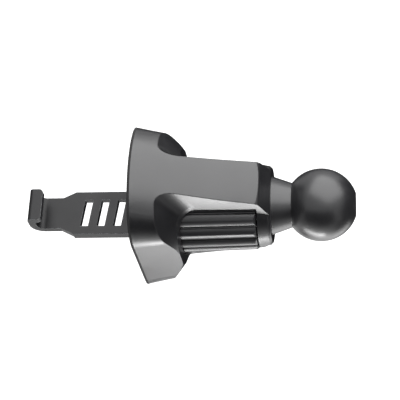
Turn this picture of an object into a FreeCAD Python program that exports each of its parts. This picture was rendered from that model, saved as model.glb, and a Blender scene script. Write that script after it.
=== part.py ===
import FreeCAD, Part
import math
import os
import Sketcher

# Air vent mount with a hook strap, a thumb wheel and a ball head, in millimetres.
# +X runs from the vent to the ball, +Z is up, and the strap lies flat across Y.
# Sizes along X are measured from the housing's rim, which stands behind the pad's contact face.

DRIVING_SIZES = {
    # Grip pad and the face that meets the vent
    "pad_proud": 0.4,
    "pad_thickness": 1.0,
    "pad_groove_depth": 0.35,
    "pad_groove_width": 1.0,
    "pad_groove_pitch": 2.4,
    "pad_groove_count": 4,
    "pad_slot_gap": 0.7,
    "pad_land": 6.5,
    # Housing section at the rim, at the waist and at the nose, measured out from the wheel cavity
    "rim_rise": 10.05,
    "rim_spread": 3.68,
    "waist_x": 10.0,
    "waist_rise": 6.45,
    "waist_spread": 2.25,
    "nose_rise": 1.15,
    "nose_spread": 0.35,
    "crown_rise": 8.05,
    "crown_angle": 31.0,
    # Scoops beside the ribs
    "scoop_foot_x": 5.6,
    "scoop_foot_inset": 1.9,
    "scoop_slope": 0.76,
    "scoop_knee_rise": 2.45,
    "scoop_root_slope": 0.12,
    "scoop_corner": 4.3,
    "rib_half": 5.95,
    "rib_side_radius": 120.0,
    # Rib ends that slope down to the collar
    "rib_end_length": 3.2,
    "rib_end_rise": 2.15,
    "rib_break_length": 1.8,
    "rib_break_rise": 0.75,
    "rib_end_round": 2.5,
    # Collar round the stud's base
    "collar_root_cover": 1.75,
    "collar_cover": 1.22,
    "collar_edge": 0.5,
    "collar_wall": 0.95,
    # Ball stud
    "ball_radius": 8.5,
    "ball_flat_depth": 0.45,
    "stem_length": 2.77,
    "stem_step": 1.15,
    "stem_slope": 0.35,
    "stem_cone_depth": 0.1,
    "stud_base_radius": 8.0,
    "stud_flat_depth": 0.7,
    "stud_base_thickness": 1.05,
    "stud_gap": 0.05,
    # Spring ring behind the stud
    "ring_thickness": 0.45,
    "ring_depth": 0.45,
    "ring_lap": 1.1,
    "ring_gap": 0.05,
    "ring_land": 0.45,
    "ring_opening": 40.0,
    "stem_hole_gap": 0.5,
    # Thumb wheel
    "wheel_front_x": 9.6,
    "wheel_rim": 2.9,
    "wheel_drop": 0.55,
    "wheel_gap": 0.25,
    "wheel_end_gap": 0.3,
    "bore_room": 2.48,
    "wheel_wall": 2.4,
    "wheel_chamfer": 0.5,
    "head_proud": 0.15,
    "flute_count": 18,
    "flute_phase": 14.5,
    "flute_depth": 1.15,
    "flute_half_width": 0.35,
    "flute_bottom_round": 0.4,
    "flute_shoulder": 0.5,
    "ridge_round": 2.7,
    # Worm screw
    "worm_lead": 4.0,
    "worm_turns": 4.0,
    "thread_start_x": 3.97,
    "worm_core": 2.6,
    "thread_depth": 1.5,
    "worm_pass": 0.15,
    "thread_foot": 1.4,
    "thread_tip": 0.85,
    "thread_root": 0.2,
    "worm_end_gap": 0.3,
    "journal_end_gap": 0.2,
    "journal_tip_wall": 0.4,
    "hex_land": 0.9,
    "hex_height": 1.4,
    "hex_gap": 0.05,
    "front_journal": 1.5,
    "rear_journal": 2.5,
    "rear_journal_length": 6.9,
    "journal_gap": 0.05,
    # Bush and washers
    "bush_wall": 1.05,
    "bush_length": 6.0,
    "bush_gap": 0.02,
    "washer_bore_gap": 0.25,
    "washer_ring_gap": 1.3,
    "washer_gap": 0.05,
    "slip_inner_rise": 0.3,
    "slip_outer_inset": 0.5,
    "slip_thickness": 0.5,
    # Strap guide
    "plate_inset": 2.3,
    "plate_gap": 0.1,
    "plate_thickness": 2.0,
    "plug_gap": 0.1,
    "worm_clearance": 0.4,
    "tongue_side_gap": 0.22,
    "tongue_room": 1.6,
    "tongue_gap": 1.2,
    # Guide screws
    "screw_inset_y": 6.63,
    "screw_inset_z": 7.6,
    "screw_shank": 0.95,
    "screw_head": 1.9,
    "screw_head_height": 0.8,
    "screw_end_x": 6.3,
    "pilot_end_gap": 0.5,
    "screw_gap": 0.05,
    "screw_slot_width": 0.5,
    "screw_slot_depth": 0.4,
    # Cored pockets in the housing
    "core_half": 3.0,
    "core_wall": 1.85,
    "core_cover": 2.4,
    "core_end_x": 13.0,
    # Hook strap
    "strap_core_gap": 0.14,
    "strap_sheet": 1.7,
    "strap_shoulder": 1.5,
    "strap_taper": 3.0,
    "strap_end_land": 2.23,
    "strap_end_gap": 1.0,
    "hook_travel": 8.0,
    "rail_width": 1.1,
    "rail_depth": 2.46,
    "strap_gap": 0.13,
    "hook_neck": 7.25,
    "hook_bend": 3.4,
    "lip_top": 2.4,
    "lip_corner": 1.0,
    "lip_length": 3.3,
    "lip_plan_round": 1.0,
    "lip_inner_bend": 0.4,
    "slot_count": 8,
    "slot_count_ahead": 4,
    "slot_width": 1.9,
    "slot_inset": 0.65,
    "slot_border": 2.07,
    "slot_land": 2.97,
    "slot_slant": 0.125,
}

# The strap's widths follow from the worm, and the wheel's bore from the strap
WORM_CREST = "(worm_core + thread_depth)"
STRAP_TOP = "(worm_core + strap_core_gap)"
SLOT_HALF = f"({WORM_CREST} - slot_inset)"
STRAP_WIDE = f"({SLOT_HALF} + slot_border)"
STRAP_NARROW = f"({STRAP_WIDE} - strap_shoulder)"
WHEEL_BORE = f"({STRAP_WIDE} + bore_room)"
WHEEL_FRONT_RADIUS = f"({WHEEL_BORE} + wheel_rim)"
WHEEL_REAR_RADIUS = f"({WHEEL_FRONT_RADIUS} - wheel_drop)"
TONGUE_HALF = f"({STRAP_WIDE} - rail_width - tongue_side_gap)"
TONGUE_BOTTOM = f"({WHEEL_BORE} - tongue_room)"
HEX_FLATS = f"(2 * ({WORM_CREST} + hex_land))"
# The wheel cavity and the housing's sections round it
CAVITY_RADIUS = f"({WHEEL_FRONT_RADIUS} + wheel_gap)"
RIM_HEIGHT = f"({CAVITY_RADIUS} + rim_rise)"
RIM_WIDTH = f"({CAVITY_RADIUS} + rim_spread)"
WAIST_HEIGHT = f"({CAVITY_RADIUS} + waist_rise)"
CROWN_RADIUS = f"({CAVITY_RADIUS} + crown_rise)"
# Radii of the stud and of what holds it
COLLAR_RADIUS = "(stud_base_radius + collar_cover)"
STEM_RADIUS = "(stud_base_radius - stem_step)"
RING_BORE = "(stud_base_radius - ring_lap)"
BALL_FLAT = "(ball_radius - ball_flat_depth)"
BUSH_RADIUS = "(rear_journal + journal_gap + bush_wall)"
# Places along X that follow from the sizes, towards the hook
SLOT_FIRST_X = "((slot_count_ahead + 1 / 2) * worm_lead - thread_start_x)"
STRAP_WIDE_X = f"({SLOT_FIRST_X} + slot_land)"
STRAP_NARROW_X = f"({STRAP_WIDE_X} + strap_taper)"
HOOK_X = f"({STRAP_NARROW_X} + hook_neck)"
LIP_TIP_X = f"({HOOK_X} - lip_length)"
# Places along X in the housing
PLATE_FRONT = "(pad_thickness - pad_proud)"
PLATE_BACK = f"({PLATE_FRONT} + plate_thickness)"
PLUG_END = "(wheel_front_x - slip_thickness - 2 * washer_gap)"
SCREW_SEAT = f"({PLATE_FRONT} + screw_head_height + screw_gap)"
JOURNAL_TIP = f"({PLATE_FRONT} + journal_tip_wall + journal_end_gap)"
WORM_START = f"({PLATE_BACK} + worm_end_gap)"
STRAP_END_X = f"(worm_lead * (slot_count - 1) - {SLOT_FIRST_X} + strap_end_land)"
WHEEL_WALL_X = f"({STRAP_END_X} + hook_travel + strap_end_gap)"
WHEEL_REAR_X = f"({WHEEL_WALL_X} + wheel_wall)"
COLLAR_START = f"({WHEEL_REAR_X} + wheel_end_gap)"
RING_X = f"({COLLAR_START} + ring_land + ring_gap)"
BASE_X = f"({RING_X} + ring_thickness + ring_gap)"
NOSE_X = f"({BASE_X} + stud_base_thickness + collar_wall)"
STEM_CONE_X = f"({NOSE_X} - stem_cone_depth)"
BALL_X = f"({NOSE_X} + stem_length + ball_radius)"
HEAD_REAR = f"({WHEEL_REAR_X} + head_proud)"
HEAD_FRONT = f"({HEAD_REAR} - hex_height)"
# The wheel's cone
WHEEL_TAPER = f"(wheel_drop / ({WHEEL_REAR_X} - wheel_front_x))"
WHEEL_TILT = f"atan({WHEEL_TAPER})"
# The guide screws' places across the housing
SCREW_Y = f"({RIM_WIDTH} - screw_inset_y)"
SCREW_Z = f"({RIM_HEIGHT} - screw_inset_z)"
SCREW_PLACES = [
    (SCREW_Y, SCREW_Z),
    (f"-{SCREW_Y}", SCREW_Z),
    (f"-{SCREW_Y}", f"-{SCREW_Z}"),
    (SCREW_Y, f"-{SCREW_Z}"),
]
# How far a cutting outline reaches past the solid that it cuts
PAST = "5"

doc = FreeCAD.newDocument("vent_mount")
sheet = doc.addObject("Spreadsheet::Sheet", "sizes")
for row_number, (alias, number) in enumerate(DRIVING_SIZES.items(), start=1):
    sheet.set(f"A{row_number}", alias)
    sheet.set(f"B{row_number}", str(number))
    sheet.setAlias(f"B{row_number}", alias)
doc.recompute()

parts = []


def of(formula):
    """Rewrite the size names in a formula as cells of the sheet."""
    words = []
    word = ""
    for letter in formula + " ":
        if letter.isalnum() or letter == "_":
            word += letter
            continue
        words.append(f"sizes.{word}" if word in DRIVING_SIZES else word)
        words.append(letter)
        word = ""
    return "".join(words).strip()


def value(formula):
    """Give the number that a formula of size names comes to."""
    result = sheet.evalExpression(of(formula))
    return float(getattr(result, "Value", result))


def new_body(name):
    """Start an empty body in the document."""
    body = doc.addObject("PartDesign::Body", name)
    body.AllowCompound = True
    return body


def origin_plane(body, role):
    """Find one of the body's own origin planes by its role."""
    return next(item for item in body.Origin.OriginFeatures if item.Role == role)


def new_sketch(body, name, role, offset="0"):
    """Attach an empty sketch to an origin plane, moved along the plane's normal."""
    sketch = body.newObject("Sketcher::SketchObject", name)
    sketch.AttachmentSupport = [(origin_plane(body, role), "")]
    sketch.MapMode = "FlatFace"
    sketch.setExpression("AttachmentOffset.Base.z", of(offset))
    return sketch


def lean(item, place, angle):
    """Turn a sketch's offset or a body's placement about its own first axis."""
    axis = FreeCAD.Vector(1, 0, 0)
    setattr(item, place, FreeCAD.Placement(getattr(item, place).Base, FreeCAD.Rotation(axis, value(angle))))
    item.setExpression(f"{place}.Rotation.Angle", of(angle))


def dimension(sketch, kind, formula, *points):
    """Add a dimension whose value follows a formula."""
    number = sketch.addConstraint(Sketcher.Constraint(kind, *points, value(formula)))
    sketch.setExpression(f"Constraints[{number}]", of(formula))


def arc_centre(start, end, radius, turn):
    """Find the centre of an arc from start to end, turning left (+1) or right (-1)."""
    half_x = (end[0] - start[0]) / 2
    half_y = (end[1] - start[1]) / 2
    half = math.hypot(half_x, half_y)
    rise = math.sqrt(max(radius * radius - half * half, 0.0))
    middle_x = start[0] + half_x
    middle_y = start[1] + half_y
    return middle_x - turn * half_y * rise / half, middle_y + turn * half_x * rise / half


def outline(sketch, corners):
    """Draw a closed outline. Each corner is (x, y) for a straight edge that ends there,
    or (x, y, radius, turn) for an arc that ends there."""
    spots = [(value(corner[0]), value(corner[1])) for corner in corners]
    edges = []
    for index, corner in enumerate(corners):
        start = FreeCAD.Vector(*spots[index - 1], 0)
        end = FreeCAD.Vector(*spots[index], 0)
        if len(corner) == 2:
            edges.append(sketch.addGeometry(Part.LineSegment(start, end)))
            continue
        radius = value(corner[2])
        turn = corner[3]
        centre = FreeCAD.Vector(*arc_centre(start, end, radius, turn), 0)
        first = math.atan2(start.y - centre.y, start.x - centre.x)
        last = math.atan2(end.y - centre.y, end.x - centre.x)
        if turn < 0:
            first, last = last, first
        if last < first:
            last += 2 * math.pi
        circle = Part.Circle(centre, FreeCAD.Vector(0, 0, 1), radius)
        edges.append(sketch.addGeometry(Part.ArcOfCircle(circle, first, last)))
    for index, corner in enumerate(corners):
        turns_right = len(corner) == 4 and corner[3] < 0
        end_point = 1 if turns_right else 2
        following = (index + 1) % len(corners)
        next_turns_right = len(corners[following]) == 4 and corners[following][3] < 0
        next_start = 2 if next_turns_right else 1
        sketch.addConstraint(
            Sketcher.Constraint("Coincident", edges[index], end_point, edges[following], next_start)
        )
        dimension(sketch, "DistanceX", corner[0], -1, 1, edges[index], end_point)
        dimension(sketch, "DistanceY", corner[1], -1, 1, edges[index], end_point)
        if len(corner) == 4:
            dimension(sketch, "Radius", corner[2], edges[index])


def ring_outline(sketch, radius, x="0", y="0"):
    """Draw a full circle."""
    centre = FreeCAD.Vector(value(x), value(y), 0)
    circle = Part.Circle(centre, FreeCAD.Vector(0, 0, 1), value(radius))
    edge = sketch.addGeometry(circle)
    dimension(sketch, "Radius", radius, edge)
    if (x, y) == ("0", "0"):
        sketch.addConstraint(Sketcher.Constraint("Coincident", edge, 3, -1, 1))
        return
    dimension(sketch, "DistanceX", x, -1, 1, edge, 3)
    dimension(sketch, "DistanceY", y, -1, 1, edge, 3)


def rectangle(half_x, low_y, high_y):
    """Give the corners of a rectangle that is centred across its width."""
    return [
        (f"-({half_x})", low_y),
        (half_x, low_y),
        (half_x, high_y),
        (f"-({half_x})", high_y),
    ]


def box_corners(low_x, high_x, low_y, high_y):
    """Give the corners of a rectangle from its four sides."""
    return [(low_x, low_y), (high_x, low_y), (high_x, high_y), (low_x, high_y)]


def revolve(body, name, corners, angle="360"):
    """Turn an outline of (along X, radius) round the X axis."""
    sketch = new_sketch(body, name + "_profile", "XZ_Plane")
    outline(sketch, corners)
    feature = body.newObject("PartDesign::Revolution", name)
    feature.Profile = sketch
    feature.ReferenceAxis = (sketch, ["H_Axis"])
    feature.setExpression("Angle", of(angle))
    return feature


def groove(body, name, corners):
    """Cut an outline of (along X, radius) turned round the X axis."""
    sketch = new_sketch(body, name + "_profile", "XZ_Plane")
    outline(sketch, corners)
    feature = body.newObject("PartDesign::Groove", name)
    feature.Profile = sketch
    feature.ReferenceAxis = (sketch, ["H_Axis"])
    return feature


def pad_along_x(body, name, sketch, length):
    """Extrude a cross-section towards +X."""
    feature = body.newObject("PartDesign::Pad", name)
    feature.Profile = sketch
    feature.setExpression("Length", of(length))
    return feature


def pocket_along_x(body, name, sketch, length):
    """Cut a cross-section towards +X."""
    feature = body.newObject("PartDesign::Pocket", name)
    feature.Profile = sketch
    feature.Reversed = True
    feature.setExpression("Length", of(length))
    return feature


def keep(label, subpart):
    """Name a sub-part, stand it behind the contact face and list it for writing."""
    subpart.Label = label
    subpart.setExpression("Placement.Base.x", of("pad_proud"))
    parts.append(subpart)
    return subpart


def flange_section(body, name, offset, height, width, inset="0"):
    """Draw the flange's section: crowned above and below, flat at the sides, with round corners."""
    knee = f"({CROWN_RADIUS} * sin(crown_angle))"
    knee_height = f"({height} - {CROWN_RADIUS} * (1 - cos(crown_angle)))"
    corner = f"(({width} - {knee}) / (1 - sin(crown_angle)))"
    flat_top = f"({knee_height} - {corner} * cos(crown_angle))"
    crown = f"({CROWN_RADIUS} - {inset})"
    corner_in = f"({corner} - {inset})"
    knee_y = f"({knee} - {inset} * sin(crown_angle))"
    knee_z = f"({knee_height} - {inset} * cos(crown_angle))"
    side = f"({width} - {inset})"
    sketch = new_sketch(body, name, "YZ_Plane", offset)
    outline(sketch, [
        (f"-{knee_y}", knee_z, crown, 1),
        (f"-{side}", flat_top, corner_in, 1),
        (f"-{side}", f"-{flat_top}"),
        (f"-{knee_y}", f"-{knee_z}", corner_in, 1),
        (knee_y, f"-{knee_z}", crown, 1),
        (side, f"-{flat_top}", corner_in, 1),
        (side, flat_top),
        (knee_y, knee_z, corner_in, 1),
    ])
    return sketch


def hull_form():
    """The wedge that the housing is shaped from."""
    body = new_body("hull_form")
    waist_width = f"({CAVITY_RADIUS} + waist_spread)"
    nose_height = f"({CAVITY_RADIUS} + nose_rise)"
    nose_width = f"({CAVITY_RADIUS} + nose_spread)"
    rim = flange_section(body, "rim_section", "0", RIM_HEIGHT, RIM_WIDTH)
    waist = flange_section(body, "waist_section", "waist_x", WAIST_HEIGHT, waist_width)
    nose = flange_section(body, "nose_section", NOSE_X, nose_height, nose_width)
    loft = body.newObject("PartDesign::AdditiveLoft", "hull_loft")
    loft.Profile = rim
    loft.Sections = [waist, nose]
    loft.Ruled = False
    return body


def is_scoop_corner(edge):
    """Tell the curved edge between a scoop's end wall and the rib beside it."""
    box = edge.BoundBox
    return edge.Curve.TypeId != "Part::GeomLine" and box.YLength < box.XLength


def scoop_form():
    """The two hollows beside the ribs, with an end wall that slopes in to a steep foot
    and a round inner corner."""
    body = new_body("scoop_form")
    outer = f"({RIM_HEIGHT} + {PAST})"
    knee = f"({CAVITY_RADIUS} + scoop_knee_rise)"
    foot_radius = f"({RIM_HEIGHT} - scoop_foot_inset)"
    knee_x = f"(scoop_foot_x + scoop_slope * ({foot_radius} - {knee}))"
    revolve(body, "scoop_cone", [
        (f"{knee_x} + scoop_root_slope * {knee}", "0"),
        (f"{NOSE_X} + {PAST}", "0"),
        (f"{NOSE_X} + {PAST}", outer),
        (f"scoop_foot_x + scoop_slope * ({foot_radius} - {outer})", outer),
        (knee_x, knee),
    ])
    reach = f"({outer} + {PAST})"
    tip = f"(sqrt(rib_side_radius * rib_side_radius - {reach} * {reach}) - rib_side_radius + rib_half)"
    ribs = new_sketch(body, "rib_block", "YZ_Plane")
    outline(ribs, [
        (tip, reach, "rib_side_radius", 1),
        (f"-{tip}", reach),
        (f"-{tip}", f"-{reach}", "rib_side_radius", 1),
        (tip, f"-{reach}"),
    ])
    clearance = pocket_along_x(body, "rib_clearance", ribs, f"{NOSE_X} + 2 * {PAST}")
    doc.recompute()
    corners = [
        f"Edge{number}"
        for number, edge in enumerate(clearance.Shape.Edges, start=1)
        if is_scoop_corner(edge)
    ]
    fillet = body.newObject("PartDesign::Fillet", "scoop_corners")
    fillet.Base = (clearance, corners)
    fillet.setExpression("Radius", of("scoop_corner"))
    return body


def nose_form():
    """The turned ring that slopes the ribs' ends down to the collar."""
    body = new_body("nose_form")
    end_x = f"{NOSE_X} - rib_end_length"
    foot = f"{COLLAR_RADIUS} - collar_edge"
    above = f"{RIM_HEIGHT} + {PAST}"
    revolve(body, "nose_ring", [
        (end_x, f"{CAVITY_RADIUS} + rib_end_rise"),
        (f"{NOSE_X} - rib_break_length", f"{CAVITY_RADIUS} + rib_break_rise", "rib_end_round", -1),
        (NOSE_X, foot),
        (f"{NOSE_X} + {PAST}", foot),
        (f"{NOSE_X} + {PAST}", above),
        (end_x, above),
    ])
    return body


def stud_base_outline(sketch, gap="0"):
    """Draw the stud's round base with its two flats, which stop it turning in the collar."""
    radius = f"(stud_base_radius + {gap})"
    flat = f"(stud_base_radius - stud_flat_depth + {gap})"
    corner = f"sqrt({radius} * {radius} - {flat} * {flat})"
    outline(sketch, [
        (flat, corner),
        (f"-{flat}", corner, radius, 1),
        (f"-{flat}", f"-{corner}"),
        (flat, f"-{corner}", radius, 1),
    ])


def collar_form():
    """The round collar that holds the stud's base."""
    body = new_body("collar_form")
    revolve(body, "collar_ring", [
        (COLLAR_START, "0"),
        (NOSE_X, "0"),
        (NOSE_X, f"{COLLAR_RADIUS} - collar_edge"),
        (f"{NOSE_X} - collar_edge", COLLAR_RADIUS),
        (COLLAR_START, "stud_base_radius + collar_root_cover"),
    ])
    return body


def interior_form():
    """The space inside the housing: wheel cavity, stud seat, plate recess and pilot holes."""
    body = new_body("interior_form")
    front = f"-{PAST}"
    revolve(body, "cavity", [
        (front, "0"),
        (f"{NOSE_X} + {PAST}", "0"),
        (f"{NOSE_X} + {PAST}", f"{STEM_RADIUS} + stud_gap"),
        (BASE_X, f"{STEM_RADIUS} + stud_gap"),
        (BASE_X, "stud_base_radius + ring_depth + ring_gap"),
        (f"{RING_X} - ring_gap", "stud_base_radius + ring_depth + ring_gap"),
        (f"{RING_X} - ring_gap", "stud_base_radius + stud_gap"),
        (COLLAR_START, "stud_base_radius + stud_gap"),
        (COLLAR_START, CAVITY_RADIUS),
        (front, CAVITY_RADIUS),
    ])
    seat = new_sketch(body, "stud_seat_profile", "YZ_Plane", f"{BASE_X} - ring_thickness")
    stud_base_outline(seat, "stud_gap")
    pad_along_x(body, "stud_seat", seat, "stud_base_thickness + ring_thickness")
    recess = flange_section(
        body, "recess_section", front, RIM_HEIGHT, RIM_WIDTH, "(plate_inset - plate_gap)"
    )
    pad_along_x(body, "plate_recess", recess, f"{PAST} + {PLATE_BACK}")
    cores = new_sketch(body, "core_profile", "YZ_Plane")
    low = f"({CAVITY_RADIUS} + core_wall)"
    high = f"({WAIST_HEIGHT} - core_cover)"
    outline(cores, rectangle("core_half", low, high))
    outline(cores, rectangle("core_half", f"-{high}", f"-{low}"))
    pad_along_x(body, "core_pockets", cores, "core_end_x")
    pilots = new_sketch(body, "pilot_profile", "YZ_Plane")
    for y, z in SCREW_PLACES:
        ring_outline(pilots, "screw_shank + screw_gap", y, z)
    pad_along_x(body, "pilot_holes", pilots, "screw_end_x + pilot_end_gap")
    return body


def join(kind, name, base, tool):
    """Combine two solids."""
    result = doc.addObject(kind, name)
    result.Base = base
    result.Tool = tool
    return result


def housing():
    """The moulded housing: flange, two ribs and collar in one piece."""
    scooped = join("Part::Cut", "scooped_hull", hull_form(), scoop_form())
    nosed = join("Part::Cut", "nosed_hull", scooped, nose_form())
    whole = join("Part::Fuse", "solid_housing", nosed, collar_form())
    hollow = join("Part::Cut", "hollow_housing", whole, interior_form())
    keep("housing", hollow)


def ball_stud():
    """The ball, its conical stem and the flatted base behind the collar."""
    body = new_body("ball_stud")
    run = f"({STEM_RADIUS} - stem_slope * (stem_length + ball_radius + stem_cone_depth))"
    spread = "(1 + stem_slope * stem_slope)"
    root = (
        f"sqrt({run} * {run} * stem_slope * stem_slope"
        f" - {spread} * ({run} * {run} - ball_radius * ball_radius))"
    )
    back = f"(({run} * stem_slope - {root}) / {spread})"
    revolve(body, "stud", [
        (BASE_X, "0"),
        (f"{BALL_X} + {BALL_FLAT}", "0"),
        (f"{BALL_X} + {BALL_FLAT}", f"sqrt(ball_radius * ball_radius - {BALL_FLAT} * {BALL_FLAT})"),
        (f"{BALL_X} + {back}", f"{run} - stem_slope * {back}", "ball_radius", 1),
        (STEM_CONE_X, STEM_RADIUS),
        (BASE_X, STEM_RADIUS),
    ])
    base = new_sketch(body, "base_profile", "YZ_Plane", BASE_X)
    stud_base_outline(base)
    pad_along_x(body, "stud_base", base, "stud_base_thickness")
    groove(body, "bush_hole", [
        (f"{BASE_X} - {PAST}", "0"),
        (f"{BASE_X} + bush_length + stem_hole_gap", "0"),
        (f"{BASE_X} + bush_length + stem_hole_gap", f"{BUSH_RADIUS} + bush_gap"),
        (f"{BASE_X} - {PAST}", f"{BUSH_RADIUS} + bush_gap"),
    ])
    keep("ball_stud", body)


def stud_ring():
    """The open spring ring that holds the stud's base in the collar."""
    body = new_body("stud_ring")
    revolve(body, "ring", box_corners(
        RING_X, f"{RING_X} + ring_thickness", RING_BORE, "stud_base_radius + ring_depth"
    ), "360 - ring_opening")
    keep("stud_ring", body)


def rear_bush():
    """The brass bush in the stud that carries the worm's rear journal."""
    body = new_body("rear_bush")
    revolve(body, "bush", box_corners(
        BASE_X, f"{BASE_X} + bush_length", "rear_journal + journal_gap", BUSH_RADIUS
    ))
    keep("rear_bush", body)


def rear_washer():
    """The washer between the worm's head and the stud."""
    body = new_body("rear_thrust_washer")
    revolve(body, "washer", box_corners(
        f"{HEAD_REAR} + washer_gap",
        f"{BASE_X} - washer_gap",
        "rear_journal + washer_bore_gap",
        f"{RING_BORE} - washer_ring_gap",
    ))
    keep("rear_thrust_washer", body)


def front_washer():
    """The slip ring that takes the wheel's thrust when the hook is pulled in."""
    body = new_body("front_thrust_washer")
    start = f"{PLUG_END} + washer_gap"
    inner = f"{WHEEL_BORE} + slip_inner_rise"
    outer = f"{WHEEL_FRONT_RADIUS} - slip_outer_inset"
    revolve(body, "slip_ring", box_corners(start, f"{start} + slip_thickness", inner, outer))
    keep("front_thrust_washer", body)


def flute_section(body, name, x):
    """Draw the space between two rounded ridges, with a narrow groove in its middle,
    on a plane that leans with the wheel's cone."""
    radius = f"(({WHEEL_FRONT_RADIUS} - {WHEEL_TAPER} * ({x} - wheel_front_x)) * cos({WHEEL_TILT}))"
    half_pitch = "(180 / flute_count)"
    tip_y = f"({radius} * sin({half_pitch}))"
    tip_z = f"({radius} * cos({half_pitch}))"
    shoulder = f"({radius} - flute_shoulder)"
    bottom = f"({radius} - flute_depth + flute_half_width)"
    sketch = new_sketch(body, name, "YZ_Plane", x)
    lean(sketch, "AttachmentOffset", WHEEL_TILT)
    outline(sketch, [
        ("-flute_half_width", shoulder, "ridge_round", -1),
        ("-flute_half_width", bottom),
        ("flute_half_width", bottom, "flute_bottom_round", 1),
        ("flute_half_width", shoulder),
        (tip_y, tip_z, "ridge_round", -1),
        (tip_y, f"{radius} + flute_depth"),
        (f"-{tip_y}", f"{radius} + flute_depth"),
        (f"-{tip_y}", tip_z),
    ])
    return sketch


def hexagon(sketch, flats):
    """Draw a hexagon by its width across the flats."""
    corner = f"({flats} / sqrt(3))"
    outline(sketch, [
        (corner, "0"),
        (f"{corner} / 2", f"{flats} / 2"),
        (f"-{corner} / 2", f"{flats} / 2"),
        (f"-{corner}", "0"),
        (f"-{corner} / 2", f"-{flats} / 2"),
        (f"{corner} / 2", f"-{flats} / 2"),
    ])


def thumb_wheel():
    """The fluted wheel: a cup whose end wall grips the worm's hexagonal head."""
    body = new_body("thumb_wheel")
    hole = f"{WORM_CREST} + worm_pass"
    revolve(body, "wheel_blank", [
        ("wheel_front_x", WHEEL_BORE),
        (WHEEL_WALL_X, WHEEL_BORE),
        (WHEEL_WALL_X, hole),
        (WHEEL_REAR_X, hole),
        (WHEEL_REAR_X, f"{WHEEL_REAR_RADIUS} - wheel_chamfer"),
        (f"{WHEEL_REAR_X} - wheel_chamfer", WHEEL_REAR_RADIUS),
        ("wheel_front_x + wheel_chamfer", WHEEL_FRONT_RADIUS),
        ("wheel_front_x", f"{WHEEL_FRONT_RADIUS} - wheel_chamfer"),
    ])
    socket = new_sketch(body, "socket_profile", "YZ_Plane", HEAD_FRONT)
    hexagon(socket, f"({HEX_FLATS} + 2 * hex_gap)")
    pocket_along_x(body, "hex_socket", socket, "wheel_wall")
    profile = flute_section(body, "flute_profile", f"(wheel_front_x - {PAST})")
    flute = pocket_along_x(body, "flute", profile, f"{WHEEL_REAR_X} - wheel_front_x + 2 * {PAST}")
    pattern = body.newObject("PartDesign::PolarPattern", "flutes")
    pattern.Originals = [flute]
    pattern.Axis = (origin_plane(body, "X_Axis"), [""])
    pattern.Angle = 360
    pattern.setExpression("Occurrences", of("flute_count"))
    body.Tip = pattern
    lean(body, "Placement", "flute_phase")
    keep("thumb_wheel", body)


def worm_screw():
    """The worm: two journals, a hexagonal head and one helical thread that drives the strap."""
    body = new_body("worm_screw")
    end_x = f"{HEAD_REAR} + rear_journal_length"
    revolve(body, "spindle", [
        (JOURNAL_TIP, "0"),
        (end_x, "0"),
        (end_x, "rear_journal"),
        (HEAD_FRONT, "rear_journal"),
        (HEAD_FRONT, "worm_core"),
        (WORM_START, "worm_core"),
        (WORM_START, "front_journal"),
        (JOURNAL_TIP, "front_journal"),
    ])
    head = new_sketch(body, "head_profile", "YZ_Plane", HEAD_FRONT)
    head.setExpression("AttachmentOffset.Rotation.Angle", of("flute_phase"))
    hexagon(head, HEX_FLATS)
    pad_along_x(body, "hex_head", head, "hex_height")
    thread = new_sketch(body, "thread_profile", "XZ_Plane")
    outline(thread, [
        ("thread_start_x - thread_foot / 2", "worm_core - thread_root"),
        ("thread_start_x + thread_foot / 2", "worm_core - thread_root"),
        ("thread_start_x + thread_tip / 2", WORM_CREST),
        ("thread_start_x - thread_tip / 2", WORM_CREST),
    ])
    helix = body.newObject("PartDesign::AdditiveHelix", "worm_thread")
    helix.Profile = thread
    helix.ReferenceAxis = (thread, ["H_Axis"])
    helix.Mode = 0
    helix.setExpression("Pitch", of("worm_lead"))
    helix.setExpression("Height", of("worm_lead * worm_turns"))
    keep("worm_screw", body)


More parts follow.
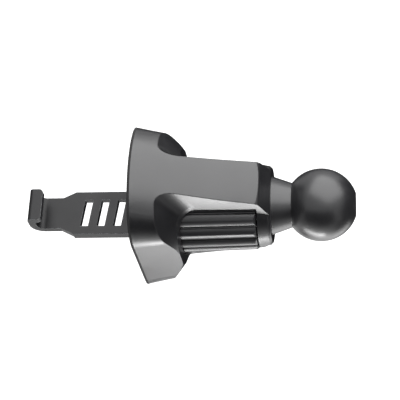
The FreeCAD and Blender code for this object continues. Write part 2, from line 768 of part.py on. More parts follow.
def strap_guide():
    """The plate and plug behind the pad: strap slot, worm bearing and the tongue under the strap."""
    body = new_body("strap_guide")
    plate = flange_section(body, "plate_section", PLATE_FRONT, RIM_HEIGHT, RIM_WIDTH, "plate_inset")
    pad_along_x(body, "plate", plate, "plate_thickness")
    plug = new_sketch(body, "plug_profile", "YZ_Plane", PLATE_FRONT)
    ring_outline(plug, f"{CAVITY_RADIUS} - plug_gap")
    pad_along_x(body, "plug", plug, f"{PLUG_END} - {PLATE_FRONT}")
    groove(body, "worm_bearing", [
        (f"{JOURNAL_TIP} - journal_end_gap", "0"),
        (f"{PLUG_END} + {PAST}", "0"),
        (f"{PLUG_END} + {PAST}", f"{WORM_CREST} + worm_clearance"),
        (f"{WORM_START} - journal_end_gap", f"{WORM_CREST} + worm_clearance"),
        (f"{WORM_START} - journal_end_gap", "front_journal + journal_gap"),
        (f"{JOURNAL_TIP} - journal_end_gap", "front_journal + journal_gap"),
    ])
    slot = new_sketch(body, "strap_slot_profile", "YZ_Plane")
    outline(slot, rectangle(
        f"{STRAP_WIDE} + strap_gap",
        f"-{STRAP_TOP} - rail_depth - strap_gap",
        f"-{STRAP_TOP} + strap_gap",
    ))
    pocket_along_x(body, "strap_slot", slot, f"{PLUG_END} + {PAST}")
    tongue = new_sketch(body, "tongue_profile", "YZ_Plane", PLATE_FRONT)
    seat = f"-{STRAP_TOP} - strap_sheet - strap_gap"
    outline(tongue, rectangle(TONGUE_HALF, f"-{TONGUE_BOTTOM}", seat))
    pad_along_x(body, "tongue", tongue, f"{WHEEL_WALL_X} - tongue_gap - {PLATE_FRONT}")
    holes = new_sketch(body, "hole_profile", "YZ_Plane")
    heads = new_sketch(body, "head_hole_profile", "YZ_Plane")
    for y, z in SCREW_PLACES:
        ring_outline(holes, "screw_shank + screw_gap", y, z)
        ring_outline(heads, "screw_head + screw_gap", y, z)
    pocket_along_x(body, "screw_holes", holes, f"{PLATE_BACK} + {PAST}")
    pocket_along_x(body, "head_holes", heads, SCREW_SEAT)
    keep("strap_guide", body)


def guide_screw(number, y, z):
    """One of the slotted screws that hold the guide in the housing."""
    name = f"guide_screw_{number}"
    body = new_body(name)
    revolve(body, "screw", [
        (f"{SCREW_SEAT} - screw_head_height", "0"),
        ("screw_end_x", "0"),
        ("screw_end_x - screw_shank / 2", "screw_shank"),
        (SCREW_SEAT, "screw_shank"),
        (SCREW_SEAT, "screw_head"),
        (f"{SCREW_SEAT} - screw_head_height", "screw_head"),
    ])
    slot = new_sketch(body, "driver_profile", "YZ_Plane", f"{SCREW_SEAT} - screw_head_height")
    outline(slot, rectangle(f"screw_head + {PAST}", "-screw_slot_width / 2", "screw_slot_width / 2"))
    pocket_along_x(body, "driver_slot", slot, "screw_slot_depth")
    keep(name, body)
    body.setExpression("Placement.Base.y", of(y))
    body.setExpression("Placement.Base.z", of(z))


def vent_pad():
    """The rubber pad that meets the vent, with a slot for the strap and shallow grip grooves."""
    body = new_body("vent_pad")
    face = flange_section(body, "pad_section", "-pad_proud", RIM_HEIGHT, RIM_WIDTH, "plate_inset")
    pad_along_x(body, "pad", face, "pad_thickness")
    slot = new_sketch(body, "pad_slot_profile", "YZ_Plane", "-pad_proud")
    outline(slot, rectangle(
        f"{STRAP_WIDE} + pad_slot_gap",
        f"-{STRAP_TOP} - rail_depth - pad_slot_gap",
        f"-{STRAP_TOP} + pad_slot_gap",
    ))
    pocket_along_x(body, "pad_slot", slot, "pad_thickness")
    for name, low, high in (
        ("upper", "pad_land", "pad_land + pad_groove_width"),
        ("lower", "-pad_land - pad_groove_width", "-pad_land"),
    ):
        sketch = new_sketch(body, f"{name}_groove_profile", "YZ_Plane", "-pad_proud")
        outline(sketch, rectangle(f"{RIM_WIDTH} + {PAST}", low, high))
        cut = pocket_along_x(body, f"{name}_groove", sketch, "pad_groove_depth")
        pattern = body.newObject("PartDesign::LinearPattern", f"{name}_grooves")
        pattern.Originals = [cut]
        pattern.Direction = (sketch, ["V_Axis"])
        pattern.Reversed = name == "lower"
        pattern.setExpression("Length", of("pad_groove_pitch * (pad_groove_count - 1)"))
        pattern.setExpression("Occurrences", of("pad_groove_count"))
        body.Tip = pattern
    keep("vent_pad", body)


def is_lip_corner(edge):
    """Tell the upright edges at the lip's tip."""
    at_tip = all(math.isclose(point.X, -value(LIP_TIP_X)) for point in edge.Vertexes)
    return at_tip and edge.BoundBox.YLength < edge.BoundBox.ZLength


def hook_strap():
    """The slotted steel strap with stiffened edges and a J hook that catches a vent blade."""
    body = new_body("hook_strap")
    under = f"(-{STRAP_TOP} - strap_sheet)"
    inner = "(hook_bend - strap_sheet)"
    leg = f"(-{HOOK_X} + strap_sheet)"
    bend_x = f"-{HOOK_X} + hook_bend"
    side = new_sketch(body, "hook_profile", "XZ_Plane")
    outline(side, [
        (f"-{STRAP_WIDE_X}", under),
        (f"-{STRAP_WIDE_X}", f"-{STRAP_TOP}"),
        (bend_x, f"-{STRAP_TOP}"),
        (leg, f"-{STRAP_TOP} + {inner}", inner, -1),
        (leg, "lip_top - strap_sheet - lip_inner_bend"),
        (f"{leg} + lip_inner_bend", "lip_top - strap_sheet", "lip_inner_bend", -1),
        (f"-{LIP_TIP_X}", "lip_top - strap_sheet"),
        (f"-{LIP_TIP_X}", "lip_top"),
        (f"-{HOOK_X} + lip_corner", "lip_top"),
        (f"-{HOOK_X}", "lip_top - lip_corner", "lip_corner", 1),
        (f"-{HOOK_X}", f"{under} + hook_bend"),
        (bend_x, under, "hook_bend", 1),
    ])
    hook = body.newObject("PartDesign::Pad", "hook")
    hook.Profile = side
    hook.Midplane = True
    hook.setExpression("Length", of(f"2 * {STRAP_NARROW}"))
    doc.recompute()
    corners = [
        f"Edge{number}" for number, edge in enumerate(hook.Shape.Edges, start=1) if is_lip_corner(edge)
    ]
    rounding = body.newObject("PartDesign::Fillet", "lip_corners")
    rounding.Base = (hook, corners)
    rounding.setExpression("Radius", of("lip_plan_round"))
    flat = new_sketch(body, "strap_profile", "XY_Plane", under)
    outline(flat, [
        (STRAP_END_X, STRAP_WIDE),
        (f"-{STRAP_WIDE_X}", STRAP_WIDE),
        (f"-{STRAP_NARROW_X}", STRAP_NARROW),
        (bend_x, STRAP_NARROW),
        (bend_x, f"-{STRAP_NARROW}"),
        (f"-{STRAP_NARROW_X}", f"-{STRAP_NARROW}"),
        (f"-{STRAP_WIDE_X}", f"-{STRAP_WIDE}"),
        (STRAP_END_X, f"-{STRAP_WIDE}"),
    ])
    web = body.newObject("PartDesign::Pad", "strap")
    web.Profile = flat
    web.setExpression("Length", of("strap_sheet"))
    rails = new_sketch(body, "rail_profile", "XY_Plane", f"-{STRAP_TOP} - rail_depth")
    for low, high in (
        (f"{STRAP_WIDE} - rail_width", STRAP_WIDE),
        (f"-{STRAP_WIDE}", f"-{STRAP_WIDE} + rail_width"),
    ):
        outline(rails, box_corners(f"-{STRAP_WIDE_X}", STRAP_END_X, low, high))
    edge = body.newObject("PartDesign::Pad", "rails")
    edge.Profile = rails
    edge.setExpression("Length", of("rail_depth - strap_sheet / 2"))
    slot = new_sketch(body, "slot_profile", "XY_Plane", f"-{STRAP_TOP}")
    shift = f"slot_slant * {SLOT_HALF}"
    outline(slot, [
        (f"-{SLOT_FIRST_X} - slot_width / 2 - {shift}", f"-{SLOT_HALF}"),
        (f"-{SLOT_FIRST_X} + slot_width / 2 - {shift}", f"-{SLOT_HALF}"),
        (f"-{SLOT_FIRST_X} + slot_width / 2 + {shift}", SLOT_HALF),
        (f"-{SLOT_FIRST_X} - slot_width / 2 + {shift}", SLOT_HALF),
    ])
    cut = body.newObject("PartDesign::Pocket", "slot")
    cut.Profile = slot
    cut.setExpression("Length", of(f"strap_sheet + {PAST}"))
    pattern = body.newObject("PartDesign::LinearPattern", "slots")
    pattern.Originals = [cut]
    pattern.Direction = (slot, ["H_Axis"])
    pattern.setExpression("Length", of("worm_lead * (slot_count - 1)"))
    pattern.setExpression("Occurrences", of("slot_count"))
    body.Tip = pattern
    keep("hook_strap", body)


def check():
    """Stop if any object of the document failed or any sub-part is not a sound solid."""
    for item in doc.Objects:
        if "Invalid" in item.State or "Error" in item.State:
            raise RuntimeError(f"{item.Name} did not build: {item.State}")
    for subpart in parts:
        shape = subpart.Shape
        if shape.isNull() or not shape.isValid() or not shape.Solids:
            raise RuntimeError(f"{subpart.Label} is not a sound solid")


def write():
    """Write each sub-part to its own file."""
    os.makedirs("parts", exist_ok=True)
    for subpart in parts:
        subpart.Shape.exportStep(f"parts/{subpart.Label}.step")


def main():
    """Build every sub-part, check it and write it."""
    housing()
    ball_stud()
    stud_ring()
    rear_bush()
    rear_washer()
    front_washer()
    thumb_wheel()
    worm_screw()
    strap_guide()
    for number, (y, z) in enumerate(SCREW_PLACES, start=1):
        guide_screw(number, y, z)
    vent_pad()
    hook_strap()
    doc.recompute()
    check()
    write()
    for subpart in parts:
        print(subpart.Label, len(subpart.Shape.Solids), round(subpart.Shape.Volume, 1))


main()
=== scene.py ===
"""Looks of an air vent mount with a hook strap, a thumb wheel and a ball head.

Lengths are in metres unless a name ends in mm. +X runs from the vent to the ball, +Z is up.
"""

import logging
import math
from dataclasses import dataclass
from enum import Enum

import bpy
from mathutils import Matrix, Vector

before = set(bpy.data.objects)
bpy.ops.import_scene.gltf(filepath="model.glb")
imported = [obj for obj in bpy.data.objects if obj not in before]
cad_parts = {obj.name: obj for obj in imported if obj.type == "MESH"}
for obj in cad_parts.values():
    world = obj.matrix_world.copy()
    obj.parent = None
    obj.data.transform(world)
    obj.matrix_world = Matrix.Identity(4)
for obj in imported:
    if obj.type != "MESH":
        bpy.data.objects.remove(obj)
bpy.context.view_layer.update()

LOG = logging.getLogger("vent_mount")
MM = 0.001
WHITE = (1.0, 1.0, 1.0, 1.0)
# Blender's wave texture turns through twenty radians in one unit of length.
WAVE_RADIANS = 20.0
# A noise texture's values lie mostly between these.
NOISE_LOW, NOISE_HIGH = 0.3, 0.7
# The lightening of worn edges, which is also a painted highlight, starts where the rounded normal has this
# cosine with the flat one, and is full at the second.
WEAR_AND_HIGHLIGHT_STARTS, WEAR_AND_HIGHLIGHT_FULL = 0.98, 0.86
# The noise values that part the kept patches of a coat from the worn ones, which also carry a painted
# highlight, and how much each has lost.
PATCH_KEPT, PATCH_WORN_AND_HIGHLIT = 0.42, 0.6
LOSS_KEPT, LOSS_WORN_AND_HIGHLIT = 0.1, 0.9
# Mix nodes have a socket for each kind of data. These are the numbers of those used here.
MIX_NUMBER_A, MIX_NUMBER_B, MIX_NUMBER_RESULT = 2, 3, 0
MIX_COLOUR_A, MIX_COLOUR_B, MIX_COLOUR_RESULT = 6, 7, 2


class Body(Enum):
    """The three bodies that move against each other."""

    HOUSING = "housing"
    WHEEL = "wheel"
    HOOK = "hook"


class Surface(Enum):
    """How a surface was made, which sets its fine relief."""

    SPARK_ERODED = "spark eroded mould"
    POLISHED_MOULD = "polished mould"
    ELECTROCOATED = "electrocoated"
    TURNED = "turned"
    ROLLED = "rolled"
    MOULDED_RUBBER = "moulded rubber"


def linear(hex_colour: str) -> tuple[float, float, float, float]:
    """Turn an sRGB hex colour into linear light.

    Args:
        hex_colour: The colour as "#rrggbb".

    Returns:
        Red, green, blue and alpha in linear light.
    """
    channels = [int(hex_colour[start:start + 2], 16) / 255 for start in (1, 3, 5)]
    light = [c / 12.92 if c <= 0.04045 else ((c + 0.055) / 1.055) ** 2.4 for c in channels]
    return light[0], light[1], light[2], 1.0


def add_node(
    tree: bpy.types.NodeTree,
    kind: str,
    settings: dict[str, object] | None = None,
    inputs: dict[str | int, object] | None = None,
) -> bpy.types.Node:
    """Add one node with its settings, values and links.

    Args:
        tree: The node tree that takes the node.
        kind: The node's type name.
        settings: Attributes to set on the node.
        inputs: Input sockets by name or number, each with a value or an output socket.

    Returns:
        The new node.
    """
    node = tree.nodes.new(kind)
    for name, setting in (settings or {}).items():
        setattr(node, name, setting)
    for socket, source in (inputs or {}).items():
        if isinstance(source, bpy.types.NodeSocket):
            tree.links.new(source, node.inputs[socket])
        else:
            node.inputs[socket].default_value = source
    return node


def empty_material(name: str) -> bpy.types.Material:
    """Make a material whose node tree is still empty.

    Args:
        name: The material's name.

    Returns:
        The material.
    """
    material = bpy.data.materials.new(name)
    material.use_nodes = True
    material.node_tree.nodes.clear()
    return material


def into_scene(name: str, data: bpy.types.ID) -> bpy.types.Object:
    """Put a mesh, lamp or camera into the scene as an object.

    Args:
        name: The object's name.
        data: What the object shows.

    Returns:
        The object.
    """
    item = bpy.data.objects.new(name, data)
    bpy.context.scene.collection.objects.link(item)
    return item


def flat_sheet(name: str, width: float, height: float, level: float = 0.0) -> bpy.types.Mesh:
    """Make a flat rectangle, centred on the Z axis.

    Args:
        name: The mesh's name.
        width: Its size along X.
        height: Its size along Y.
        level: Its place along Z.

    Returns:
        The mesh.
    """
    half, rise = width / 2, height / 2
    corners = [(-half, -rise, level), (half, -rise, level), (half, rise, level), (-half, rise, level)]
    mesh = bpy.data.meshes.new(name)
    mesh.from_pydata(corners, [], [(0, 1, 2, 3)])
    return mesh


@dataclass(frozen=True)
class Finish:
    """A real material with the surface that its making gave it.

    Attributes:
        name: The material's name.
        colour: Its sRGB colour.
        surface: How the surface was made.
        roughness: Its mean roughness.
        ior: Its index of refraction; a metal keeps the default.
        metallic: 1 for a metal.
        grain_mm: Size of the grain, or distance of the turning rings.
        grain_depth_mm: Depth of the grain or rings.
        tint: How far the colour varies, as a share.
        tint_patch_mm: Size of the patches of colour.
        gloss_spread: How far the roughness varies.
        gloss_patch_mm: Size of the patches of gloss.
        edge_mm: Radius that the edges show.
        edge_samples: Rays that find the edges.
        worn_and_highlight_colour: What shows on the lightened edges, partly bare material where the coat is
            worn and partly a painted highlight; none where it is empty.
        worn_and_highlight_edge_mm: Width of the lightened edges.
        worn_and_highlight_patch_mm: Size of the lightened patches.
        painted_dark_rim_mm: Where along X the band at the vent ends, painted near-black and made matt as a
            painted dark reflection line round the rim; none at 0.
        painted_dark_rim_colour: The band's sRGB colour, a painted dark reflection.
        painted_dark_rim_roughness: The band's roughness.
    """

    name: str
    colour: str
    surface: Surface
    roughness: float
    ior: float = 1.5
    metallic: float = 0.0
    grain_mm: float = 0.2
    grain_depth_mm: float = 0.01
    tint: float = 0.1
    tint_patch_mm: float = 4.0
    gloss_spread: float = 0.04
    gloss_patch_mm: float = 7.0
    edge_mm: float = 0.15
    edge_samples: int = 6
    # Lighter edge patches: partly coat wear, partly a painted highlight.
    worn_and_highlight_colour: str = ""
    worn_and_highlight_edge_mm: float = 0.25
    worn_and_highlight_patch_mm: float = 1.2
    # A near-black matt band at the vent end: a painted dark reflection line round the rim.
    painted_dark_rim_mm: float = 0.0
    painted_dark_rim_colour: str = "#060607"
    painted_dark_rim_roughness: float = 0.9

    def material(self) -> bpy.types.Material:
        """Build the node material.

        Returns:
            The material, ready to assign.
        """
        material = empty_material(self.name)
        tree = material.node_tree
        place = add_node(tree, "ShaderNodeTexCoord").outputs["Object"]
        colour = self.mottled(tree, place)
        gloss = self.uneven_gloss(tree, place)
        # Edges are lightened in patches, partly wear and partly a painted highlight.
        if self.worn_and_highlight_colour:
            colour = self.wear_and_highlight_edges(tree, place, colour)
        # The vent-end band is painted near-black, a painted dark reflection line.
        if self.painted_dark_rim_mm:
            colour, gloss = self.paint_dark_rim(tree, place, colour, gloss)
        shader = add_node(tree, "ShaderNodeBsdfPrincipled", inputs={
            "Base Color": colour,
            "Roughness": gloss,
            "Metallic": self.metallic,
            "IOR": self.ior,
            "Normal": self.relief(tree, place),
        })
        add_node(tree, "ShaderNodeOutputMaterial", inputs={"Surface": shader.outputs[0]})
        return material

    def mottled(self, tree: bpy.types.NodeTree, place: bpy.types.NodeSocket) -> bpy.types.NodeSocket:
        """Vary the colour a little over a few millimetres.

        Args:
            tree: The material's node tree.
            place: The texture position.

        Returns:
            The colour socket.
        """
        noise = add_node(tree, "ShaderNodeTexNoise", inputs={
            "Vector": place, "Scale": 1 / (self.tint_patch_mm * MM), "Detail": 4.0, "Roughness": 0.6,
        })
        base = linear(self.colour)
        darker = tuple(channel * (1 - self.tint) for channel in base[:3]) + (1.0,)
        lighter = tuple(min(channel * (1 + self.tint), 1.0) for channel in base[:3]) + (1.0,)
        mottle = add_node(tree, "ShaderNodeMix", {"data_type": "RGBA"}, {
            "Factor": noise.outputs[0], MIX_COLOUR_A: darker, MIX_COLOUR_B: lighter,
        })
        return mottle.outputs[MIX_COLOUR_RESULT]

    def wear_and_highlight_edges(
        self, tree: bpy.types.NodeTree, place: bpy.types.NodeSocket, colour: bpy.types.NodeSocket
    ) -> bpy.types.NodeSocket:
        """Lighten sharp edges in patches: partly bare material where the coat is worn, partly a painted
        highlight.

        An edge shows as a place where the rounded normal leans away from the flat one.

        Args:
            tree: The material's node tree.
            place: The texture position.
            colour: The colour of the whole coat.

        Returns:
            The colour socket with the worn and painted-highlight edges.
        """
        rounded = self.rounded(tree, self.worn_and_highlight_edge_mm)
        flat = add_node(tree, "ShaderNodeNewGeometry")
        turn = add_node(tree, "ShaderNodeVectorMath", {"operation": "DOT_PRODUCT"}, {
            0: rounded, 1: flat.outputs["Normal"],
        })
        patches = add_node(tree, "ShaderNodeTexNoise", inputs={
            "Vector": place, "Scale": 1 / (self.worn_and_highlight_patch_mm * MM), "Detail": 5.0, "Roughness": 0.7,
        })
        edge = add_node(tree, "ShaderNodeMapRange", inputs={
            "Value": turn.outputs["Value"], "From Min": WEAR_AND_HIGHLIGHT_STARTS, "From Max": WEAR_AND_HIGHLIGHT_FULL,
            "To Min": 0.0, "To Max": 1.0,
        })
        patch = add_node(tree, "ShaderNodeMapRange", inputs={
            "Value": patches.outputs[0], "From Min": PATCH_KEPT, "From Max": PATCH_WORN_AND_HIGHLIT,
            "To Min": LOSS_KEPT, "To Max": LOSS_WORN_AND_HIGHLIT,
        })
        amount = add_node(tree, "ShaderNodeMath", {"operation": "MULTIPLY"}, {
            0: edge.outputs[0], 1: patch.outputs[0],
        })
        # Mix in the lighter colour: worn coat and painted highlight.
        worn_and_highlit = add_node(tree, "ShaderNodeMix", {"data_type": "RGBA"}, {
            "Factor": amount.outputs[0], MIX_COLOUR_A: colour, MIX_COLOUR_B: linear(self.worn_and_highlight_colour),
        })
        return worn_and_highlit.outputs[MIX_COLOUR_RESULT]

    def uneven_gloss(self, tree: bpy.types.NodeTree, place: bpy.types.NodeSocket) -> bpy.types.NodeSocket:
        """Vary the gloss a little, as handling and mould flow leave it.

        Args:
            tree: The material's node tree.
            place: The texture position.

        Returns:
            The roughness socket.
        """
        noise = add_node(tree, "ShaderNodeTexNoise", inputs={
            "Vector": place, "Scale": 1 / (self.gloss_patch_mm * MM), "Detail": 3.0, "Roughness": 0.55,
        })
        spread = add_node(tree, "ShaderNodeMapRange", inputs={
            "Value": noise.outputs[0], "From Min": NOISE_LOW, "From Max": NOISE_HIGH,
            "To Min": self.roughness - self.gloss_spread, "To Max": self.roughness + self.gloss_spread,
        })
        return spread.outputs[0]

    def paint_dark_rim(
        self,
        tree: bpy.types.NodeTree,
        place: bpy.types.NodeSocket,
        colour: bpy.types.NodeSocket,
        gloss: bpy.types.NodeSocket,
    ) -> tuple[bpy.types.NodeSocket, bpy.types.NodeSocket]:
        """Paint a narrow band at the piece's vent end near-black and make it matt, a painted dark reflection
        line round its edge.

        Args:
            tree: The material's node tree.
            place: The texture position.
            colour: The colour of the whole surface.
            gloss: The roughness of the whole surface.

        Returns:
            The colour socket and the roughness socket.
        """
        along = add_node(tree, "ShaderNodeSeparateXYZ", inputs={0: place}).outputs["X"]
        inside = add_node(tree, "ShaderNodeMath", {"operation": "LESS_THAN"}, {
            0: along, 1: self.painted_dark_rim_mm * MM,
        }).outputs[0]
        shade = add_node(tree, "ShaderNodeMix", {"data_type": "RGBA"}, {
            "Factor": inside, MIX_COLOUR_A: colour, MIX_COLOUR_B: linear(self.painted_dark_rim_colour),
        })
        rough = add_node(tree, "ShaderNodeMix", {"data_type": "FLOAT"}, {
            "Factor": inside, MIX_NUMBER_A: gloss, MIX_NUMBER_B: self.painted_dark_rim_roughness,
        })
        return shade.outputs[MIX_COLOUR_RESULT], rough.outputs[MIX_NUMBER_RESULT]

    def rounded(self, tree: bpy.types.NodeTree, radius_mm: float) -> bpy.types.NodeSocket:
        """Round the sharp edges in the shading alone.

        Args:
            tree: The material's node tree.
            radius_mm: The radius of the edges.

        Returns:
            The normal socket.
        """
        bevel = add_node(tree, "ShaderNodeBevel", {"samples": self.edge_samples}, {"Radius": radius_mm * MM})
        return bevel.outputs[0]

    def relief(self, tree: bpy.types.NodeTree, place: bpy.types.NodeSocket) -> bpy.types.NodeSocket:
        """Round the edges a little and add the surface's own fine relief.

        Args:
            tree: The material's node tree.
            place: The texture position.

        Returns:
            The normal socket.
        """
        if self.surface is Surface.TURNED:
            height = self.turning_marks(tree, place)
        else:
            height = add_node(tree, "ShaderNodeTexNoise", inputs={
                "Vector": place, "Scale": 1 / (self.grain_mm * MM), "Detail": 2.0, "Roughness": 0.5,
            }).outputs[0]
        bump = add_node(tree, "ShaderNodeBump", inputs={
            "Strength": 1.0, "Distance": self.grain_depth_mm * MM, "Height": height,
            "Normal": self.rounded(tree, self.edge_mm),
        })
        return bump.outputs[0]

    def turning_marks(self, tree: bpy.types.NodeTree, place: bpy.types.NodeSocket) -> bpy.types.NodeSocket:
        """Draw the fine rings that a lathe tool leaves along the X axis.

        Args:
            tree: The material's node tree.
            place: The texture position.

        Returns:
            The height socket.
        """
        rings = add_node(tree, "ShaderNodeTexWave", {"bands_direction": "X"}, {
            "Vector": place, "Scale": 2 * math.pi / (WAVE_RADIANS * self.grain_mm * MM), "Distortion": 0.4,
            "Detail": 1.0,
        })
        return rings.outputs["Fac"]


# The real grains are about 0.1 mm across, finer than a pixel of the photograph. They are drawn two to six
# times as coarse, so that they show as a faint unevenness in the gloss.

# Satin ABS from a spark-eroded mould: dark, with a soft wide sheen and no sharp reflections.
# Its last half millimetre at the vent is painted near-black and made matt, a painted dark reflection line
# round the flange's edge.
SATIN_ABS = Finish("satin_abs", "#1e1e20", Surface.SPARK_ERODED, roughness=0.33, ior=1.6,
                   grain_mm=0.25, grain_depth_mm=0.004, edge_mm=0.3, painted_dark_rim_mm=0.95)
# Nylon ball from a polished mould: finer in grain than the housing, with a clean soft highlight.
BALL_NYLON = Finish("moulded_nylon", "#212123", Surface.POLISHED_MOULD, roughness=0.35, ior=1.6,
                    grain_mm=0.3, grain_depth_mm=0.003, edge_mm=0.25)
# ABS wheel from a polished mould: dark in the flutes, with a bright line along each ridge.
WHEEL_ABS = Finish("wheel_abs", "#2a2a2c", Surface.POLISHED_MOULD, roughness=0.34, ior=1.5,
                   grain_mm=0.4, grain_depth_mm=0.002, edge_mm=0.15)
# Acetal guide plate: slightly waxy and matt.
GUIDE_ACETAL = Finish("moulded_acetal", "#222223", Surface.SPARK_ERODED, roughness=0.45, ior=1.48,
                      grain_mm=0.25, grain_depth_mm=0.004)
# Natural acetal slip ring: milky off-white.
SLIP_ACETAL = Finish("natural_acetal", "#dedbd2", Surface.POLISHED_MOULD, roughness=0.4, ior=1.48)
# Pressed steel strap under black electrocoat: even satin film whose edges are lighter in patches, partly
# where it thins and wears at the cut edges and partly as a painted highlight.
COATED_STEEL = Finish("electrocoated_steel", "#121214", Surface.ELECTROCOATED, roughness=0.45, ior=1.38,
                      grain_mm=0.6, grain_depth_mm=0.004, edge_mm=0.15, worn_and_highlight_colour="#8d8f92")
# Turned steel worm: bright metal with fine rings round its axis.
# The tool's feed leaves rings 0.1 mm apart. They are drawn 0.3 mm apart, so that they show.
TURNED_STEEL = Finish("turned_steel", "#b8babd", Surface.TURNED, roughness=0.28, metallic=1.0,
                      grain_mm=0.3, grain_depth_mm=0.004, edge_mm=0.08)
# Zinc-plated screws: slightly blue satin metal.
ZINC_PLATE = Finish("zinc_plated_steel", "#a9adb2", Surface.ROLLED, roughness=0.33, metallic=1.0,
                    grain_mm=0.3, grain_depth_mm=0.003, edge_mm=0.08)
# Hardened spring steel: dark grey rolled metal.
SPRING_STEEL = Finish("spring_steel", "#77797d", Surface.ROLLED, roughness=0.36, metallic=1.0,
                      grain_mm=0.25, grain_depth_mm=0.003, edge_mm=0.06)
# Turned brass bush: warm metal with fine rings, drawn as coarse as the steel's.
TURNED_BRASS = Finish("turned_brass", "#c9a15a", Surface.TURNED, roughness=0.27, metallic=1.0,
                      grain_mm=0.3, grain_depth_mm=0.004, edge_mm=0.06)
# Silicone grip pad: matt and slightly dusty.
PAD_SILICONE = Finish("moulded_silicone", "#29292a", Surface.MOULDED_RUBBER, roughness=0.66, ior=1.42,
                      grain_mm=0.3, grain_depth_mm=0.006, tint=0.18)


@dataclass
class SubAssembly:
    """The CAD pieces of one body, each with its finish."""

    body: Body
    finishes: dict[str, Finish]

    def dress(self, materials: dict[str, bpy.types.Material]) -> None:
        """Give each piece its finish.

        Args:
            materials: Materials made so far, by name; new ones are added.
        """
        for node, finish in self.finishes.items():
            if finish.name not in materials:
                materials[finish.name] = finish.material()
            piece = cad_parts[node]
            piece.data.materials.clear()
            piece.data.materials.append(materials[finish.name])
            LOG.info("%s: %s, %s, on body %s", node, finish.name, finish.surface.value, self.body.value)


@dataclass
class Camera:
    """The photograph's viewpoint, in the CAD's frame."""

    azimuth: float = 8.44049
    tilt: float = 25.40001
    roll: float = -2.85081
    place_mm: tuple[float, float, float] = (58.863, -143.394, 302.215)
    focal_px: float = 1433.59
    frame_px: float = 400.0
    sensor_mm: float = 36.0
    nearest: float = 0.01

    def build(self) -> None:
        """Make the camera and set it as the scene's own."""
        turn, lean, spin = (math.radians(angle) for angle in (self.azimuth, self.tilt, self.roll))
        right = Vector((math.cos(turn), 0, -math.sin(turn)))
        back = Vector((math.sin(turn) * math.cos(lean), -math.sin(lean), math.cos(turn) * math.cos(lean)))
        up = back.cross(right)
        turned_right = right * math.cos(spin) - up * math.sin(spin)
        turned_up = right * math.sin(spin) + up * math.cos(spin)
        data = bpy.data.cameras.new("photo_camera")
        data.sensor_width = self.sensor_mm
        data.lens = self.sensor_mm * self.focal_px / self.frame_px
        data.clip_start = self.nearest
        camera = into_scene("photo_camera", data)
        axes = Matrix((turned_right, turned_up, back)).transposed().to_4x4()
        camera.matrix_world = Matrix.Translation(Vector(self.place_mm) * MM) @ axes
        bpy.context.scene.camera = camera


def facing(direction: tuple[float, float, float], distance: float) -> Matrix:
    """Stand something off from the origin so that its back points away from it.

    Args:
        direction: Where it stands, as seen from the origin.
        distance: How far off it stands.

    Returns:
        Its world matrix.
    """
    towards = Vector(direction).normalized()
    return Matrix.Translation(towards * distance) @ towards.to_track_quat("Z", "Y").to_matrix().to_4x4()


@dataclass
class Softbox:
    """A rectangular lamp that points at the object."""

    name: str
    direction: tuple[float, float, float]
    distance: float
    width: float
    height: float
    radiance: float

    def build(self) -> None:
        """Make the lamp."""
        data = bpy.data.lights.new(self.name, "AREA")
        data.shape = "RECTANGLE"
        data.size = self.width
        data.size_y = self.height
        data.energy = self.radiance * math.pi * self.width * self.height
        lamp = into_scene(self.name, data)
        lamp.matrix_world = facing(self.direction, self.distance)
        lamp.visible_camera = False


@dataclass
class Flag:
    """A black card beside the object that draws dark stripes in its gloss and is itself unseen."""

    name: str
    direction: tuple[float, float, float]
    distance: float
    width: float
    height: float
    colour: str = "#0a0a0a"

    def build(self) -> None:
        """Make the card. Only glossy rays meet it, so it takes no light from the floor."""
        mesh = flat_sheet(self.name, self.width, self.height)
        card = into_scene(self.name, mesh)
        card.matrix_world = facing(self.direction, self.distance)
        card.visible_camera = False
        card.visible_diffuse = False
        card.visible_shadow = False
        material = empty_material("black_card")
        tree = material.node_tree
        matt = add_node(tree, "ShaderNodeBsdfDiffuse", inputs={"Color": linear(self.colour)})
        add_node(tree, "ShaderNodeOutputMaterial", inputs={"Surface": matt.outputs[0]})
        mesh.materials.append(material)


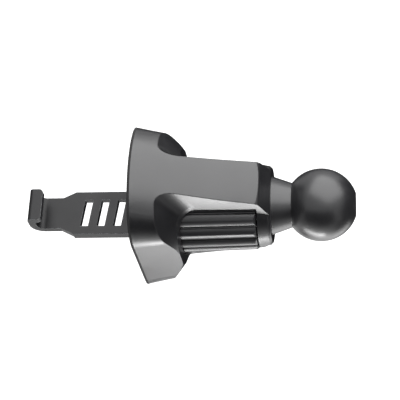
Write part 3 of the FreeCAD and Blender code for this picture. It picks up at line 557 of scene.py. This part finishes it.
@dataclass
class Studio:
    """A pale floor, a white surround, soft lamps and black flags."""

    floor_colour: str = "#f2f2f2"
    floor_glow: float = 0.35
    floor_z: float = -0.35
    floor_width: float = 6.0
    white_seen: float = 1.0
    ambient: float = 0.25
    lamps: tuple[Softbox, ...] = (
        Softbox("top_softbox", (0.32, 0.52, 0.79), 0.7, 1.2, 1.2, 3.3),
        Softbox("bottom_softbox", (0.4, -0.46, -0.86), 0.28, 0.29, 0.13, 2.0),
        Softbox("near_strip", (0.06, -0.75, -0.65), 0.12, 0.09, 0.024, 14.5),
        Softbox("vent_softbox", (-0.97, 0.1, 0.15), 0.8, 0.8, 0.8, 1.6),
    )
    flags: tuple[Flag, ...] = (
        Flag("side_flag", (0.0, -0.945, 0.326), 0.3, 0.6, 0.28),
        Flag("nose_flag", (0.93, 0.2, -0.12), 0.35, 0.6, 0.3),
        Flag("vent_flag", (-0.96, 0.1, 0.1), 0.35, 0.6, 0.45),
        Flag("under_flag", (0.2, 0.58, -0.78), 0.3, 0.6, 0.37),
        Flag("strap_flag", (-0.16, -0.44, -0.88), 0.13, 0.036, 0.08),
        Flag("scoop_flag", (0.8, -0.3, -0.5), 0.35, 0.34, 0.22),
    )

    def build(self) -> None:
        """Make the floor, the world, the lamps and the flags."""
        self.lay_floor()
        self.surround()
        for item in self.lamps + self.flags:
            item.build()

    def lay_floor(self) -> None:
        """Make the floor, which shows white and keeps the object's shadow."""
        mesh = flat_sheet("floor", self.floor_width, self.floor_width, self.floor_z)
        floor = into_scene("floor", mesh)
        material = empty_material("pale_floor")
        tree = material.node_tree
        matt = add_node(tree, "ShaderNodeBsdfDiffuse", inputs={"Color": linear(self.floor_colour)})
        glow = add_node(tree, "ShaderNodeEmission", inputs={
            "Color": WHITE, "Strength": self.seen(tree, self.floor_glow),
        })
        both = add_node(tree, "ShaderNodeAddShader", inputs={0: matt.outputs[0], 1: glow.outputs[0]})
        add_node(tree, "ShaderNodeOutputMaterial", inputs={"Surface": both.outputs[0]})
        mesh.materials.append(material)

    def seen(self, tree: bpy.types.NodeTree, strength: float) -> bpy.types.NodeSocket:
        """Give a strength only to rays that see the background.

        Args:
            tree: The node tree.
            strength: The strength that camera, glossy and transmission rays see.

        Returns:
            The strength socket.
        """
        path = add_node(tree, "ShaderNodeLightPath")
        shiny = add_node(tree, "ShaderNodeMath", {"operation": "MAXIMUM"}, {
            0: path.outputs["Is Camera Ray"], 1: path.outputs["Is Glossy Ray"],
        })
        clear = add_node(tree, "ShaderNodeMath", {"operation": "MAXIMUM"}, {
            0: shiny.outputs[0], 1: path.outputs["Is Transmission Ray"],
        })
        return add_node(tree, "ShaderNodeMath", {"operation": "MULTIPLY"}, {
            0: clear.outputs[0], 1: strength,
        }).outputs[0]

    def surround(self) -> None:
        """Set the world: white where it is seen, plain grey light elsewhere."""
        world = bpy.data.worlds.new("studio")
        world.use_nodes = True
        tree = world.node_tree
        tree.nodes.clear()
        strength = add_node(tree, "ShaderNodeMath", {"operation": "MAXIMUM"}, {
            0: self.seen(tree, self.white_seen), 1: self.ambient,
        })
        light = add_node(tree, "ShaderNodeBackground", inputs={
            "Color": WHITE, "Strength": strength.outputs[0],
        })
        add_node(tree, "ShaderNodeOutputWorld", inputs={"Surface": light.outputs[0]})
        bpy.context.scene.world = world


def main() -> None:
    """Dress every piece and set up the studio."""
    logging.basicConfig(level=logging.INFO, format="%(message)s")
    materials: dict[str, bpy.types.Material] = {}
    sub_assemblies = (
        SubAssembly(Body.HOUSING, {
            "housing": SATIN_ABS, "ball_stud": BALL_NYLON, "stud_ring": SPRING_STEEL,
            "rear_bush": TURNED_BRASS, "rear_thrust_washer": TURNED_STEEL, "front_thrust_washer": SLIP_ACETAL,
            "strap_guide": GUIDE_ACETAL, "guide_screw_1": ZINC_PLATE, "guide_screw_2": ZINC_PLATE,
            "guide_screw_3": ZINC_PLATE, "guide_screw_4": ZINC_PLATE, "vent_pad": PAD_SILICONE,
        }),
        SubAssembly(Body.WHEEL, {"thumb_wheel": WHEEL_ABS, "worm_screw": TURNED_STEEL}),
        SubAssembly(Body.HOOK, {"hook_strap": COATED_STEEL}),
    )
    for sub_assembly in sub_assemblies:
        sub_assembly.dress(materials)
    Studio().build()
    Camera().build()
    bpy.context.scene.view_settings.view_transform = "Standard"


if __name__ == "__main__":
    main()
